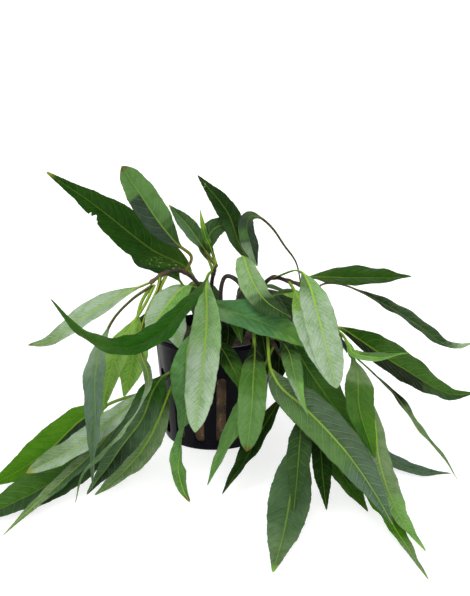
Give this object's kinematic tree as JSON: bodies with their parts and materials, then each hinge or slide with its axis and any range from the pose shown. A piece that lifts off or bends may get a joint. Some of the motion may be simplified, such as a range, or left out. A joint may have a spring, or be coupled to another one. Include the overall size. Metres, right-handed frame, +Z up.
{
  "type": "potted hygrophila",
  "caption": "Water plant with long pointed leaves that arch from dark stems and hang all round a small black net pot with upright slots.",
  "frame": {"origin": "centre of the pot's flat base, on the surface that it stands on", "axes": "+Z up; -Y to the front, where the longest leaves hang down to the surface; +X to the viewer's right when the plant is seen from the front"},
  "size_m": [0.2086, 0.2124, 0.1276],
  "materials": {
    "pot": "black moulded plastic with a slight sheen",
    "growing_medium": "rough brown fibrous growing medium",
    "stem": "smooth dark red-brown stem",
    "leaf_dark": "dark green leaf with a satin face and fine veins",
    "leaf_green": "mid green leaf with a satin face and fine veins",
    "leaf_bright": "bright green leaf with a satin face and fine veins",
    "leaf_pale": "pale grey-green leaf underside with a yellow-green midrib"
  },
  "bodies": {
    "root": {"pot": "pot", "growing_medium": "growing_medium", "stem_left": "stem", "stem_centre": "stem", "stem_right": "stem", "stem_right_front": "stem", "stem_front": "stem", "stem_left_front": "stem", "stem_back_left": "stem", "stem_back_right": "stem", "leaf_top_1": "leaf_dark", "leaf_top_2": "leaf_green", "leaf_top_3": "leaf_green", "leaf_top_4": "leaf_dark", "leaf_top_5": "leaf_green", "leaf_left_1": "leaf_pale", "leaf_left_2": "leaf_green", "leaf_left_3": "leaf_bright", "leaf_left_4": "leaf_bright", "leaf_left_5": "leaf_bright", "leaf_left_6": "leaf_green", "leaf_middle_1": "leaf_bright", "leaf_middle_2": "leaf_pale", "leaf_middle_3": "leaf_pale", "leaf_middle_4": "leaf_green", "leaf_middle_5": "leaf_green", "leaf_middle_6": "leaf_dark", "leaf_middle_7": "leaf_pale", "leaf_middle_8": "leaf_pale", "leaf_right_1": "leaf_dark", "leaf_right_2": "leaf_dark", "leaf_right_3": "leaf_green", "leaf_right_4": "leaf_pale", "leaf_right_5": "leaf_dark", "leaf_right_6": "leaf_green", "leaf_right_7": "leaf_bright", "leaf_right_8": "leaf_dark", "leaf_front_1": "leaf_dark", "leaf_front_2": "leaf_bright", "leaf_front_3": "leaf_dark", "leaf_front_4": "leaf_dark", "leaf_front_5": "leaf_dark", "leaf_front_6": "leaf_dark", "leaf_front_7": "leaf_green", "leaf_front_8": "leaf_green", "leaf_low_1": "leaf_bright", "leaf_low_2": "leaf_pale", "leaf_low_3": "leaf_dark", "leaf_low_4": "leaf_green", "leaf_low_5": "leaf_green", "leaf_low_6": "leaf_dark", "leaf_back_1": "leaf_green", "leaf_back_2": "leaf_dark", "leaf_back_3": "leaf_green", "leaf_back_4": "leaf_dark", "leaf_back_5": "leaf_green", "leaf_back_6": "leaf_dark", "leaf_back_7": "leaf_green", "leaf_back_8": "leaf_dark", "leaf_back_9": "leaf_green"}
  },
  "joints": []
}
